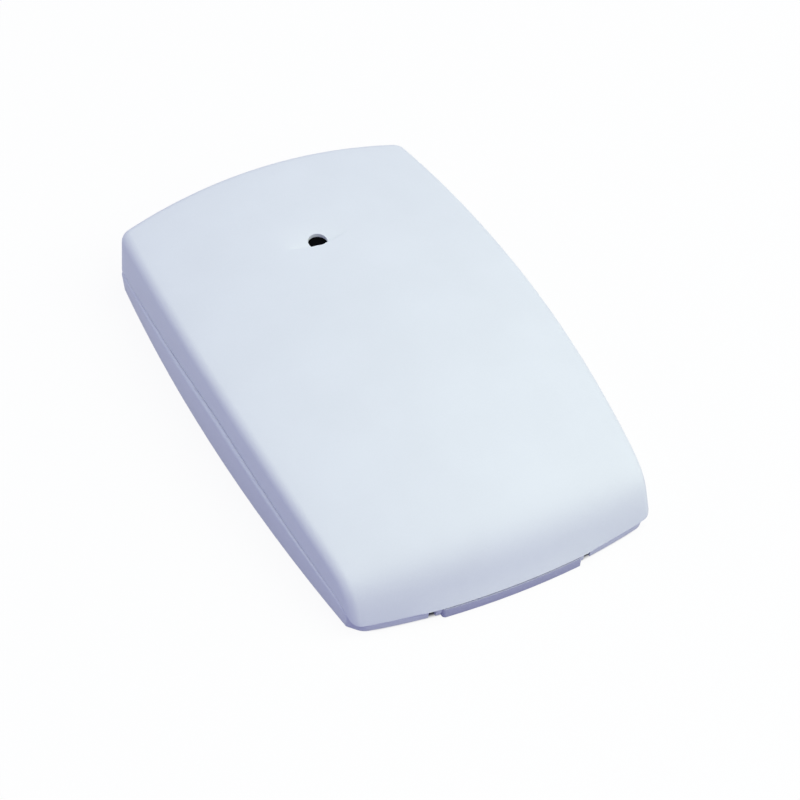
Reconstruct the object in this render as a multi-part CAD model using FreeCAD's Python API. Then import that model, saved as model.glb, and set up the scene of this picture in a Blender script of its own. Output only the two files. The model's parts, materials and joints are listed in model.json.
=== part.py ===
import FreeCAD, Part
import math
import os

# Glass break sensor, lying on its back. Millimetres.
# X is the width, Y the length (the microphone end is +Y), Z points out of the face.
# The origin is the middle of the back.

# Case
LENGTH = 98.0
WIDTH = 62.2
HEIGHT = 19.0
SIDE_BOW = 2.6
TOP_BOW = 2.7
LATCH_BOW = 3.1
CORNER_R = 2.6
COVER_WALL = 1.8
COVER_DRAFT = 0.3
EDGE_R = 2.2

# Crown of the face: an arc along to each side of the peak, one across, and a long roll
# down to the latch end
PEAK_Y = LENGTH / 2 - 44.0
ROLL_START = LENGTH / 2 - 16.0
TOP_FALL = 3.6
LOW_FALL = 3.8
SIDE_FALL = 4.0
ALONG_TOP_R = ((LENGTH / 2 - PEAK_Y) ** 2 + TOP_FALL ** 2) / (2 * TOP_FALL)
ALONG_LOW_R = ((ROLL_START + PEAK_Y) ** 2 + LOW_FALL ** 2) / (2 * LOW_FALL)
ACROSS_R = ((WIDTH / 2) ** 2 + SIDE_FALL ** 2) / (2 * SIDE_FALL)
ROLL_TOP_HANDLE = 12.6
ROLL_FOOT_HANDLE = 8.5
ROLL_FOOT_LEAN = 19.0
ROLL_FOOT_Z = 1.8

# Seam between cover and base: an arch along the sides that dips before the latch end
SEAM_PEAK = 9.0
SEAM_SPAN = LENGTH / 2 - 1.0
SEAM_FALL = 5.4
SEAM_POWER = 1.4
SEAM_END_Z = 1.85
SEAM_DIP_FROM = -(LENGTH / 2 - 7.5)
SEAM_DIP_TO = -(LENGTH / 2 - 2.3)
SEAM_STEPS = 40
SEAM_GAP = 0.18

# Base
FLOOR = 2.0
FOOT_SIDE_INSET = 0.3
FOOT_END_INSET = 0.3
FOOT_LATCH_BOW = 3.5
RIM_PROUD = 0.6
BASE_CHAMFER = 1.8
BASE_END_ROUND = 3.0
BASE_SIDE_ROUND = 0.8
RIM_Z = SEAM_PEAK
RIM_ROUND = 0.5
LIP_GAP = 0.3
LIP_THICKNESS = 0.9
LIP_RISE = 1.3
LIP_END_Y = -(LENGTH / 2 - 7.5)

# Sound inlet in the cover
INLET_Y = LENGTH / 2 - 25.0
INLET_R = 1.75
SCOOP_HALF = 6.0
SCOOP_LOW = 1.6
SCOOP_HIGH = 2.9
SCOOP_DEPTH = 0.6
INLET_WALL = 1.2

# Latch tongue at the -Y end
PANEL_HALF = 13.2
PANEL_PROUD = 0.5
PANEL_ROUND = 0.6
PANEL_HEIGHT = SEAM_END_Z - 0.05
TONGUE_HALF = 14.1
SLOT_WIDTH = 1.3
SLOT_LENGTH = 8.0
CATCH_HALF = 8.0
CATCH_Y = -(LENGTH / 2 - 4.6)
CATCH_THICKNESS = 1.3
CATCH_TOP = 6.6
CATCH_GAP = 0.25
KEEPER_HALF = 7.0
KEEPER_LOW = 4.4
KEEPER_HIGH = 6.4

# Swan-neck hinge fingers at the +Y end, curled round the cover's turning axis
HINGE_Y = LENGTH / 2 + 0.3
HINGE_Z = 4.5
FINGER_X = 9.0
FINGER_WIDTH = 5.0
FINGER_IN_R = 2.7
FINGER_OUT_R = 3.9
FINGER_FROM = 122.0
FINGER_TO = 228.0
SLOT_FROM = 95.0
SLOT_TO = 234.0
FINGER_GAP = 0.3

# Holes in the back
MOUNT_X = 21.0
MOUNT_Y = LENGTH / 2 - 10.5
MOUNT_HOLE_R = 2.1
MOUNT_BOSS_R = 4.2
MOUNT_BOSS_RISE = 0.8
WIRE_ENTRY = (15.0, 7.0)
WIRE_ENTRY_Y = -(LENGTH / 2 - 13.0)

# Circuit board
BOARD_BOTTOM = 4.0
BOARD_THICKNESS = 1.6
BOARD_TOP = BOARD_BOTTOM + BOARD_THICKNESS
BOARD_HALF = 24.0
BOARD_LOW_Y = -(LENGTH / 2 - 18.3)
BOARD_HIGH_Y = LENGTH / 2 - 15.3
BOARD_CHAMFER = 2.0
BOARD_SCREW_X = 20.5
BOARD_SCREW_YS = (-17.0, BOARD_HIGH_Y - 4.0)
BOARD_BOSS_R = 3.0
SCREW_R = 1.3
SCREW_HEAD_R = 2.5
SCREW_HEAD = 1.7
SCREW_REACH = 4.6
SCREW_CLEARANCE = 0.2
PILOT_CLEARANCE = 0.05
SCREW_SLOT = (0.6, 0.7)

# Microphone and its boot
CAPSULE_R = 4.85
CAPSULE_HEIGHT = 6.5
CAPSULE_FRONT_R = 3.2
BOOT_R = 6.2
BOOT_BORE_R = 2.6
FELT_R = 5.0
FELT_THICKNESS = 0.7
FELT_SEAT_CLEARANCE = 0.05
FELT_RING = 1.4
FELT_GAP = 0.6
INLET_FACE_Z = HEIGHT - (INLET_Y - PEAK_Y) ** 2 / (2 * ALONG_TOP_R)
FELT_TOP = INLET_FACE_Z - INLET_WALL
FELT_BOTTOM = FELT_TOP - FELT_THICKNESS
BOOT_TOP = FELT_BOTTOM - FELT_GAP

# Terminal block
TERMINAL_COUNT = 8
TERMINAL_PITCH = 3.81
TERMINAL_Y = BOARD_LOW_Y + 4.4
TERMINAL_DEPTH = 7.4
TERMINAL_HEIGHT = HEIGHT - 11.8
TERMINAL_MOUTH = (2.5, 2.7)
TERMINAL_SCREW_R = 1.25
TERMINAL_WALL = 0.6
TERMINAL_SCREW_Y = -0.4
TERMINAL_LEG_Y = 2.0
CHAMBER_WIDTH = 2.7
CHAMBER_FRONT = 2.4
CHAMBER_BACK = 2.7
CHAMBER_FLOOR = 0.8
CHAMBER_TOP = 5.4
WELL_R = 1.45
CAGE = (2.5, 3.6, 3.9)
CAGE_SKIN = 0.4
CAGE_WINDOW = (1.7, 2.2)
CLAMP_SHANK_R = 0.9
CLAMP_SHANK = 1.5
CLAMP_HEAD = 1.4
STRIP = (1.5, 0.3)

# Tamper switch: body, plunger and the cover's post that holds it down
TAMPER = (-18.0, 2.0)
TAMPER_SIDE = 6.4
TAMPER_HEIGHT = 4.1
PLUNGER_R = 1.45
PLUNGER_FOOT_R = 2.2
PLUNGER_FOOT = 0.7
PLUNGER_TOP = HEIGHT - 7.2
PLUNGER_CLEARANCE = 0.05
PLUNGER_TRAVEL = 1.1
TAMPER_SKIN = 1.0
POST_R = 2.0
POST_GAP = 0.05

# Setting switch with one slider for each pole
DIP = (-11.0, -12.0)
DIP_POLES = 4
DIP_PITCH = 2.54
DIP_DEPTH = 6.4
DIP_HEIGHT = 3.6
SLIDER = (1.3, 1.6, 2.1)
SLIDER_TRAVEL = 1.6
SLIDER_CLEARANCE = 0.1
SLIDER_WELL = 1.4

# Chip packages: (x, y), (length, width, height), pins on each long side
PROCESSOR_AT = (0.0, -3.0)
PROCESSOR = (12.8, 7.5, 2.3)
PROCESSOR_PINS = 10
AMPLIFIERS_AT = [(-8.5, 12.0), (8.5, 13.5)]
AMPLIFIER = (4.9, 3.9, 1.5)
AMPLIFIER_PINS = 4
PIN_PITCH = 1.27
PACKAGE_STAND = 0.15
LEAD_WIDTH = 0.42
LEAD_THICKNESS = 0.2
LEAD_REACH = 1.3
LEAD_FOOT = 0.7

# Other parts on the board
RELAY_AT = (15.5, 5.0)
RELAY = (14.6, 7.4, HEIGHT - 11.0)
CAPACITOR_AT = (16.0, -10.0)
CAPACITOR_SIDE = 6.6
CAPACITOR_BASE = 0.9
CAPACITOR_R = 3.15
CAPACITOR_HEIGHT = HEIGHT - 12.2
CRYSTAL_AT = (3.0, -15.0)
CRYSTAL = (11.2, 4.6, 3.4)
CRYSTAL_BRIM = 0.4
VARISTOR_AT = (-20.6, -7.0)
VARISTOR_R = (HEIGHT - 12.0) / 2
VARISTOR_THICKNESS = 3.2
VARISTOR_LEAD_R = 0.35
LED_XS = (-14.0, 14.0)
LED_Y = 25.0
LED_R = 1.5
LED_FLANGE_R = 1.9
LED_FLANGE = 1.0
LED_BARREL = 3.4
HEADER_AT = (0.0, 6.5)
HEADER_PITCH = 2.54
HEADER_HEIGHT = 2.5
HEADER_PIN = 0.64
HEADER_PIN_HEIGHT = 8.0
JUMPER_LIFT = 0.1
JUMPER = (4.9, 2.3, 5.2)
CHIP = (2.0, 1.25, 0.55)
RESISTOR_YS = (9.0, 11.5, 14.0, 16.5, 19.0, 21.5)
RESISTOR_X = -20.5
CERAMIC_YS = (11.5, 14.0, 16.5, 19.0, 21.5)
CERAMIC_X = 20.5
PIN_R = 0.45
PIN_REACH = 1.3
PIN_HOLE_GAP = 0.1


def box(x0, x1, y0, y1, z0, z1):
    return Part.makeBox(x1 - x0, y1 - y0, z1 - z0, FreeCAD.Vector(x0, y0, z0))


def slab(x, y, z, sx, sy, sz):
    return box(x - sx / 2, x + sx / 2, y - sy / 2, y + sy / 2, z, z + sz)


def rod(x, y, z, r, height):
    return Part.makeCylinder(r, height, FreeCAD.Vector(x, y, z))


def fuse(shapes):
    result = shapes[0]
    for shape in shapes[1:]:
        result = result.fuse(shape)
    return result.removeSplitter()


def cut(shape, tools):
    for tool in tools:
        shape = shape.cut(tool)
    return shape


def latch_end_y(x, inset):
    # How far out the bowed latch end reaches at x.
    half_chord = WIDTH / 2 - SIDE_BOW
    end_r = (LATCH_BOW ** 2 + half_chord ** 2) / (2 * LATCH_BOW)
    return LENGTH / 2 - inset - end_r + math.sqrt(end_r ** 2 - x ** 2)


def plan_wire(side_inset, end_inset, z, latch_bow=LATCH_BOW):
    side = WIDTH / 2 - side_inset
    end = LENGTH / 2 - end_inset
    cx = side - SIDE_BOW
    top_y = end - TOP_BOW
    low_y = latch_bow - end
    corners = [(cx, low_y), (cx, top_y), (-cx, top_y), (-cx, low_y)]
    middles = [(side, 0.0), (0.0, end), (-side, 0.0), (0.0, -end)]
    edges = []
    for i in range(4):
        points = [corners[i], middles[i], corners[(i + 1) % 4]]
        points = [FreeCAD.Vector(px, py, z) for px, py in points]
        edges.append(Part.Arc(*points).toShape())
    return Part.Wire(edges)


def uprights(block, height):
    return [edge for edge in block.Edges if edge.BoundBox.ZLength > 0.5 * height]


def plan_block(low_insets, z_low, high_insets, z_high, corner_r):
    # A block with the bowed plan of the case, drafted between two heights.
    # Insets are (side, end), measured in from the cover's foot.
    low = plan_wire(*low_insets, z_low)
    high = plan_wire(*high_insets, z_high)
    block = Part.makeLoft([low, high], True, True)
    return block.makeFillet(corner_r, uprights(block, z_high - z_low))


def crown_section(x, offset):
    # One lengthwise section under the face, inset by offset from the outer skin.
    peak_z = HEIGHT - (ACROSS_R - math.sqrt(ACROSS_R ** 2 - x ** 2))
    bow = LENGTH / 2 - latch_end_y(x, 0.0)

    def on_arc(y, along_r):
        angle = math.asin((y - PEAK_Y) / along_r)
        arc_y = PEAK_Y + (along_r - offset) * math.sin(angle)
        arc_z = peak_z - along_r + (along_r - offset) * math.cos(angle)
        return FreeCAD.Vector(x, arc_y, arc_z)

    start_y = bow - ROLL_START
    start_angle = math.asin((start_y - PEAK_Y) / ALONG_LOW_R)
    far_y = LENGTH / 2 + 4
    far = on_arc(far_y, ALONG_TOP_R)
    far_middle = on_arc((far_y + PEAK_Y) / 2, ALONG_TOP_R)
    peak = on_arc(PEAK_Y, ALONG_TOP_R)
    near_middle = on_arc((start_y + PEAK_Y) / 2, ALONG_LOW_R)
    start = on_arc(start_y, ALONG_LOW_R)
    foot = FreeCAD.Vector(x, -latch_end_y(x, offset), ROLL_FOOT_Z)
    lean = math.radians(ROLL_FOOT_LEAN)
    top_handle = FreeCAD.Vector(0, -math.cos(start_angle), math.sin(start_angle)) * (ROLL_TOP_HANDLE - offset)
    foot_handle = FreeCAD.Vector(0, math.sin(lean), math.cos(lean)) * (ROLL_FOOT_HANDLE - offset)
    roll = Part.BezierCurve()
    roll.setPoles([start, start + top_handle, foot + foot_handle, foot])
    below_foot = FreeCAD.Vector(x, foot.y, -2)
    below_far = FreeCAD.Vector(x, far.y, -2)
    edges = [
        Part.Arc(far, far_middle, peak).toShape(),
        Part.Arc(peak, near_middle, start).toShape(),
        roll.toShape(),
        Part.makeLine(foot, below_foot),
        Part.makeLine(below_foot, below_far),
        Part.makeLine(below_far, far),
    ]
    return Part.Wire(edges)


def crown_body(offset):
    half = WIDTH / 2 + 1
    sections = [crown_section(half * step / 2, offset) for step in range(-2, 3)]
    return Part.makeLoft(sections, True, False)


def seam_z(y):
    arch = SEAM_PEAK - SEAM_FALL * abs(y / SEAM_SPAN) ** SEAM_POWER
    part = (y - SEAM_DIP_FROM) / (SEAM_DIP_TO - SEAM_DIP_FROM)
    part = min(max(part, 0.0), 1.0)
    return arch + (SEAM_END_Z - arch) * part ** 2 * (3 - 2 * part)


def seam_tool(shift, y_from, y_to):
    # Everything above the arched seam, raised by shift.
    reach = LENGTH / 2 + 2
    points = []
    for step in range(SEAM_STEPS + 1):
        y = reach * (2 * step / SEAM_STEPS - 1)
        points.append(FreeCAD.Vector(-WIDTH, y, seam_z(y) + shift))
    curve = Part.BSplineCurve()
    curve.interpolate(points)
    first = FreeCAD.Vector(-WIDTH, -LENGTH, points[0].z)
    last = FreeCAD.Vector(-WIDTH, LENGTH, points[-1].z)
    high_last = FreeCAD.Vector(-WIDTH, LENGTH, 3 * HEIGHT)
    high_first = FreeCAD.Vector(-WIDTH, -LENGTH, 3 * HEIGHT)
    edges = [
        Part.makeLine(first, points[0]),
        curve.toShape(),
        Part.makeLine(points[-1], last),
        Part.makeLine(last, high_last),
        Part.makeLine(high_last, high_first),
        Part.makeLine(high_first, first),
    ]
    face = Part.Face(Part.Wire(edges))
    above = face.extrude(FreeCAD.Vector(2 * WIDTH, 0, 0))
    return above.common(box(-WIDTH, WIDTH, y_from, y_to, -HEIGHT, 4 * HEIGHT))


def ring_sector(r_in, r_out, degrees_from, degrees_to, x_middle, width):
    # A curved bar round the hinge axis. Degrees run from +Y towards +Z.
    def at(radius, degrees):
        angle = math.radians(degrees)
        y = HINGE_Y + radius * math.cos(angle)
        z = HINGE_Z + radius * math.sin(angle)
        return FreeCAD.Vector(x_middle - width / 2, y, z)

    half_way = (degrees_from + degrees_to) / 2
    outer = [at(r_out, d) for d in (degrees_from, half_way, degrees_to)]
    inner = [at(r_in, d) for d in (degrees_to, half_way, degrees_from)]
    edges = [
        Part.Arc(*outer).toShape(),
        Part.makeLine(outer[2], inner[0]),
        Part.Arc(*inner).toShape(),
        Part.makeLine(inner[2], outer[0]),
    ]
    return Part.Face(Part.Wire(edges)).extrude(FreeCAD.Vector(width, 0, 0))


def scoop_tool():
    # A shallow thumb scoop: deepest along a curved step below the inlet, rising to nothing above.
    step_r = (SCOOP_HALF ** 2 + SCOOP_LOW ** 2) / (2 * SCOOP_LOW)
    step = rod(0, INLET_Y - SCOOP_LOW + step_r, FELT_TOP - 1, step_r, HEIGHT)
    rise = SCOOP_DEPTH / (SCOOP_LOW + SCOOP_HIGH)
    tip_depth = SCOOP_DEPTH - rise * SCOOP_LOW
    floor_r = 1 / (2 * tip_depth / SCOOP_HALF ** 2 + 1 / ACROSS_R)
    along = FreeCAD.Vector(0, 1, rise)
    lowest = FreeCAD.Vector(0, INLET_Y - SCOOP_LOW, INLET_FACE_Z - SCOOP_DEPTH)
    start = lowest - along * SCOOP_HALF + FreeCAD.Vector(0, 0, floor_r)
    dish = Part.makeCylinder(floor_r, 4 * SCOOP_HALF, start, along)
    return dish.common(step)


def cover_skin():
    walls = plan_block((0, 0), 0, (COVER_DRAFT, COVER_DRAFT), HEIGHT + 2, CORNER_R)
    skin = walls.common(crown_body(0.0))
    rounded = []
    for edge in skin.Edges:
        middle = edge.valueAt((edge.FirstParameter + edge.LastParameter) / 2)
        crosses_face = abs(middle.x) < 1 and middle.y < 0
        if edge.BoundBox.ZMin > 1 and not crosses_face:
            rounded.append(edge)
    return skin.makeFillet(EDGE_R, rounded)


def cover_hollow():
    low = COVER_WALL
    high = COVER_WALL + COVER_DRAFT
    walls = plan_block((low, low), -1, (high, high), HEIGHT + 2, CORNER_R - COVER_WALL / 2)
    return walls.common(crown_body(COVER_WALL))


def front_cover():
    skin = cover_skin()
    solid_cover = skin.common(seam_tool(SEAM_GAP, -LENGTH, LENGTH))
    shell = solid_cover.cut(cover_hollow())
    keeper_y = CATCH_Y - CATCH_GAP
    keeper = box(-KEEPER_HALF, KEEPER_HALF, -LENGTH / 2 - 1, keeper_y, KEEPER_LOW, KEEPER_HIGH)
    felt_ring = rod(0, INLET_Y, FELT_BOTTOM, FELT_R + FELT_RING, HEIGHT)
    post = rod(TAMPER[0], TAMPER[1], PLUNGER_TOP + POST_GAP, POST_R, HEIGHT)
    inside = [piece.common(solid_cover) for piece in (keeper, felt_ring, post)]
    fingers = []
    for side in (-1, 1):
        bar = ring_sector(FINGER_IN_R, FINGER_OUT_R, FINGER_FROM, FINGER_TO, side * FINGER_X, FINGER_WIDTH)
        fingers.append(bar)
    cover = fuse([shell] + inside + fingers)
    inlet = rod(0, INLET_Y, 0, INLET_R, 2 * HEIGHT)
    seat_from = BOOT_TOP - 1
    felt_seat = rod(0, INLET_Y, seat_from, FELT_R + FELT_SEAT_CLEARANCE, FELT_TOP - seat_from)
    return cut(cover, [scoop_tool(), inlet, felt_seat])


def dust_felt():
    return rod(0, INLET_Y, FELT_BOTTOM, FELT_R, FELT_THICKNESS)


def base_tub():
    top = RIM_Z + 2
    high_side = FOOT_SIDE_INSET - (FOOT_SIDE_INSET + RIM_PROUD) * top / RIM_Z
    high_end = FOOT_END_INSET - (FOOT_END_INSET + RIM_PROUD) * top / RIM_Z
    foot = plan_wire(FOOT_SIDE_INSET, FOOT_END_INSET, 0, FOOT_LATCH_BOW)
    head = plan_wire(high_side, high_end, top)
    tub = Part.makeLoft([foot, head], True, True)
    tub = tub.makeChamfer(BASE_CHAMFER, uprights(tub, top))
    facet_x = WIDTH / 2 - SIDE_BOW - BASE_CHAMFER / 2
    end_edges = [edge for edge in uprights(tub, top) if abs(edge.BoundBox.Center.x) < facet_x]
    tub = tub.makeFillet(BASE_END_ROUND, end_edges)
    side_edges = [edge for edge in uprights(tub, top) if abs(edge.BoundBox.Center.x) > facet_x]
    tub = tub.makeFillet(BASE_SIDE_ROUND, side_edges)
    tub = tub.cut(seam_tool(0.0, -LENGTH, LENGTH))
    rim = [edge for edge in tub.Edges if edge.BoundBox.ZMin > SEAM_END_Z / 2]
    tub = tub.makeFillet(RIM_ROUND, rim)
    inner = COVER_WALL + LIP_GAP + LIP_THICKNESS
    hollow = plan_block((inner, inner), FLOOR, (inner, inner), HEIGHT, CORNER_R - 1)
    tub = tub.cut(hollow)
    outer = COVER_WALL + LIP_GAP
    lip = plan_block((outer, outer), 1, (outer, outer), HEIGHT, CORNER_R - 1)
    lip = cut(lip, [hollow, seam_tool(LIP_RISE, -LENGTH, LENGTH)])
    lip = lip.cut(box(-WIDTH, WIDTH, -LENGTH, LIP_END_Y, FLOOR, HEIGHT))
    return tub.fuse(lip)


def latch_tongue_cuts():
    cuts = []
    end = -LENGTH / 2 - 1
    for side in (-1, 1):
        x_slot = side * (TONGUE_HALF + SLOT_WIDTH / 2)
        cuts.append(slab(x_slot, end + (SLOT_LENGTH + 1) / 2, -1, SLOT_WIDTH, SLOT_LENGTH + 1, HEIGHT))
    return cuts


def latch_panel():
    low = -PANEL_PROUD
    block = plan_block((low, low), 0, (0, 0), PANEL_HEIGHT, CORNER_R)
    panel = block.common(box(-PANEL_HALF, PANEL_HALF, -LENGTH, CATCH_Y, 0, PANEL_HEIGHT))
    ends = [edge for edge in uprights(panel, PANEL_HEIGHT) if edge.BoundBox.YMax < CATCH_Y - 1]
    return panel.makeFillet(PANEL_ROUND, ends)


def rear_housing():
    tub = cut(base_tub(), latch_tongue_cuts())
    catch = box(-CATCH_HALF, CATCH_HALF, CATCH_Y, CATCH_Y + CATCH_THICKNESS, FLOOR / 2, CATCH_TOP)
    added = [tub, latch_panel(), catch]
    holes = []
    for x in (-BOARD_SCREW_X, BOARD_SCREW_X):
        for y in BOARD_SCREW_YS:
            added.append(rod(x, y, FLOOR / 2, BOARD_BOSS_R, BOARD_BOTTOM - FLOOR / 2))
            holes.append(rod(x, y, BOARD_TOP - SCREW_REACH - 0.2, SCREW_R + PILOT_CLEARANCE, HEIGHT))
    for x in (-MOUNT_X, MOUNT_X):
        for y in (-MOUNT_Y, MOUNT_Y):
            added.append(rod(x, y, FLOOR / 2, MOUNT_BOSS_R, FLOOR / 2 + MOUNT_BOSS_RISE))
            holes.append(rod(x, y, -1, MOUNT_HOLE_R, HEIGHT))
    holes.append(slab(0, WIRE_ENTRY_Y, -1, WIRE_ENTRY[0], WIRE_ENTRY[1], HEIGHT))
    slot_in = FINGER_IN_R - FINGER_GAP
    slot_out = FINGER_OUT_R + FINGER_GAP
    slot_width = FINGER_WIDTH + 2 * FINGER_GAP
    for side in (-1, 1):
        holes.append(ring_sector(slot_in, slot_out, SLOT_FROM, SLOT_TO, side * FINGER_X, slot_width))
    return cut(fuse(added), holes)


def terminal_xs():
    first = -TERMINAL_PITCH * (TERMINAL_COUNT - 1) / 2
    return [first + TERMINAL_PITCH * i for i in range(TERMINAL_COUNT)]


def header_xs():
    return [HEADER_AT[0] - HEADER_PITCH / 2, HEADER_AT[0] + HEADER_PITCH / 2]


def circuit_board():
    board = box(-BOARD_HALF, BOARD_HALF, BOARD_LOW_Y, BOARD_HIGH_Y, BOARD_BOTTOM, BOARD_TOP)
    corners = [edge for edge in board.Edges if edge.BoundBox.ZLength > BOARD_THICKNESS / 2]
    board = board.makeChamfer(BOARD_CHAMFER, corners)
    holes = []
    for x in (-BOARD_SCREW_X, BOARD_SCREW_X):
        for y in BOARD_SCREW_YS:
            holes.append(rod(x, y, 0, SCREW_R + SCREW_CLEARANCE, HEIGHT))
    for x in terminal_xs():
        holes.append(rod(x, TERMINAL_Y + TERMINAL_LEG_Y, 0, PIN_R + PIN_HOLE_GAP, HEIGHT))
    for x in header_xs():
        holes.append(rod(x, HEADER_AT[1], 0, PIN_R + PIN_HOLE_GAP, HEIGHT))
    return cut(board, holes)


def board_screws():
    screws = []
    for x in (-BOARD_SCREW_X, BOARD_SCREW_X):
        for y in BOARD_SCREW_YS:
            shank = rod(x, y, BOARD_TOP - SCREW_REACH, SCREW_R, SCREW_REACH)
            head = rod(x, y, BOARD_TOP, SCREW_HEAD_R, SCREW_HEAD)
            rim = [edge for edge in head.Edges if edge.BoundBox.ZMin > BOARD_TOP + SCREW_HEAD / 2]
            head = head.makeFillet(SCREW_HEAD / 2, rim[:1])
            slot_z = BOARD_TOP + SCREW_HEAD - SCREW_SLOT[1]
            slots = [
                slab(x, y, slot_z, SCREW_SLOT[0], 0.7 * 2 * SCREW_HEAD_R, SCREW_HEAD),
                slab(x, y, slot_z, 0.7 * 2 * SCREW_HEAD_R, SCREW_SLOT[0], SCREW_HEAD),
            ]
            screws.append(cut(fuse([shank, head]), slots))
    return Part.makeCompound(screws)


def microphone_boot():
    boot = rod(0, INLET_Y, BOARD_TOP, BOOT_R, BOOT_TOP - BOARD_TOP)
    pocket = rod(0, INLET_Y, BOARD_TOP, CAPSULE_R, CAPSULE_HEIGHT)
    bore = rod(0, INLET_Y, BOARD_TOP, BOOT_BORE_R, HEIGHT)
    return cut(boot, [pocket, bore])


def microphone_capsule():
    can = rod(0, INLET_Y, BOARD_TOP, CAPSULE_R, CAPSULE_HEIGHT)
    top = [edge for edge in can.Edges if edge.BoundBox.ZMin > BOARD_TOP + CAPSULE_HEIGHT / 2]
    can = can.makeChamfer(0.3, top[:1])
    port = rod(0, INLET_Y, BOARD_TOP + CAPSULE_HEIGHT - 0.4, 1.0, 1.0)
    return can.cut(port)


def terminal_block():
    depth = TERMINAL_DEPTH
    width = TERMINAL_PITCH * TERMINAL_COUNT + 2 * TERMINAL_WALL
    body = slab(0, TERMINAL_Y, BOARD_TOP, width, depth, TERMINAL_HEIGHT)
    shoulder = box(-width, width, TERMINAL_Y - depth, TERMINAL_Y - depth / 2 + 0.9, 0, HEIGHT)
    shoulder.translate(FreeCAD.Vector(0, 0, BOARD_TOP + TERMINAL_HEIGHT - 2.2))
    cuts = [shoulder]
    for x in terminal_xs():
        chamber_y = TERMINAL_Y + (CHAMBER_BACK - CHAMBER_FRONT) / 2
        chamber_depth = CHAMBER_FRONT + CHAMBER_BACK
        chamber_height = CHAMBER_TOP - CHAMBER_FLOOR
        cuts.append(slab(x, chamber_y, BOARD_TOP + CHAMBER_FLOOR, CHAMBER_WIDTH, chamber_depth, chamber_height))
        mouth_z = BOARD_TOP + CHAMBER_FLOOR + CAGE_SKIN
        cuts.append(slab(x, TERMINAL_Y - depth / 2, mouth_z, TERMINAL_MOUTH[0], depth / 2, TERMINAL_MOUTH[1]))
        cuts.append(rod(x, TERMINAL_Y + TERMINAL_SCREW_Y, BOARD_TOP + CHAMBER_TOP - 1, WELL_R, HEIGHT))
        cuts.append(rod(x, TERMINAL_Y + TERMINAL_LEG_Y, BOARD_TOP - 1, PIN_R, 1 + CHAMBER_TOP / 2))
    return cut(body, cuts)


def terminal_cages():
    cages = []
    for x in terminal_xs():
        y = TERMINAL_Y + TERMINAL_SCREW_Y
        z = BOARD_TOP + CHAMBER_FLOOR
        cage = slab(x, y, z, CAGE[0], CAGE[1], CAGE[2])
        window = slab(x, y, z + CAGE_SKIN, CAGE_WINDOW[0], 2 * CAGE[1], CAGE_WINDOW[1])
        thread = rod(x, y, z + 1, CLAMP_SHANK_R + PILOT_CLEARANCE, CAGE[2])
        cages.append(cut(cage, [window, thread]))
    return Part.makeCompound(cages)


def terminal_screws():
    screws = []
    for x in terminal_xs():
        y = TERMINAL_Y + TERMINAL_SCREW_Y
        z = BOARD_TOP + CHAMBER_FLOOR + CAGE[2]
        head = rod(x, y, z, TERMINAL_SCREW_R, CLAMP_HEAD)
        shank = rod(x, y, z - CLAMP_SHANK, CLAMP_SHANK_R, CLAMP_SHANK)
        slot = slab(x, y, z + CLAMP_HEAD - SCREW_SLOT[1], 2 * TERMINAL_SCREW_R, SCREW_SLOT[0] * 0.8, 1)
        screws.append(fuse([head, shank]).cut(slot))
    return Part.makeCompound(screws)


def terminal_pins():
    pins = []
    for x in terminal_xs():
        y_leg = TERMINAL_Y + TERMINAL_LEG_Y
        z = BOARD_TOP + CHAMBER_FLOOR + CAGE_SKIN
        front = TERMINAL_Y + TERMINAL_SCREW_Y - CAGE[1] / 2
        strip = box(x - STRIP[0] / 2, x + STRIP[0] / 2, front, y_leg + PIN_R, z, z + STRIP[1])
        bottom = BOARD_BOTTOM - PIN_REACH
        leg = rod(x, y_leg, bottom, PIN_R, z + STRIP[1] - bottom)
        pins.append(fuse([strip, leg]))
    return Part.makeCompound(pins)


def slider_x(pole):
    return DIP[0] + DIP_PITCH * (pole - (DIP_POLES - 1) / 2)


def dip_body():
    body = slab(DIP[0], DIP[1], BOARD_TOP, DIP_PITCH * DIP_POLES + 1.4, DIP_DEPTH, DIP_HEIGHT)
    length = SLIDER[1] + SLIDER_TRAVEL + 2 * SLIDER_CLEARANCE
    z = BOARD_TOP + DIP_HEIGHT - SLIDER_WELL
    width = SLIDER[0] + 2 * SLIDER_CLEARANCE
    wells = [slab(slider_x(pole), DIP[1], z, width, length, HEIGHT) for pole in range(DIP_POLES)]
    return cut(body, wells)


def dip_slider(pole):
    y = DIP[1] - SLIDER_TRAVEL / 2
    z = BOARD_TOP + DIP_HEIGHT - SLIDER_WELL + PLUNGER_CLEARANCE
    return slab(slider_x(pole), y, z, *SLIDER)


def tamper_body():
    body = slab(TAMPER[0], TAMPER[1], BOARD_TOP, TAMPER_SIDE, TAMPER_SIDE, TAMPER_HEIGHT)
    floor = BOARD_TOP + TAMPER_SKIN
    chamber_height = PLUNGER_FOOT + PLUNGER_TRAVEL + 2 * PLUNGER_CLEARANCE
    chamber = rod(TAMPER[0], TAMPER[1], floor, PLUNGER_FOOT_R + PLUNGER_CLEARANCE, chamber_height)
    bore = rod(TAMPER[0], TAMPER[1], floor, PLUNGER_R + PLUNGER_CLEARANCE, HEIGHT)
    return cut(body, [chamber, bore])


def tamper_plunger():
    foot_z = BOARD_TOP + TAMPER_SKIN + PLUNGER_CLEARANCE
    foot = rod(TAMPER[0], TAMPER[1], foot_z, PLUNGER_FOOT_R, PLUNGER_FOOT)
    stem = rod(TAMPER[0], TAMPER[1], foot_z, PLUNGER_R, PLUNGER_TOP - foot_z)
    tip = [edge for edge in stem.Edges if edge.BoundBox.ZMin > PLUNGER_TOP - 1]
    return fuse([foot, stem.makeFillet(0.5, tip[:1])])


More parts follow.
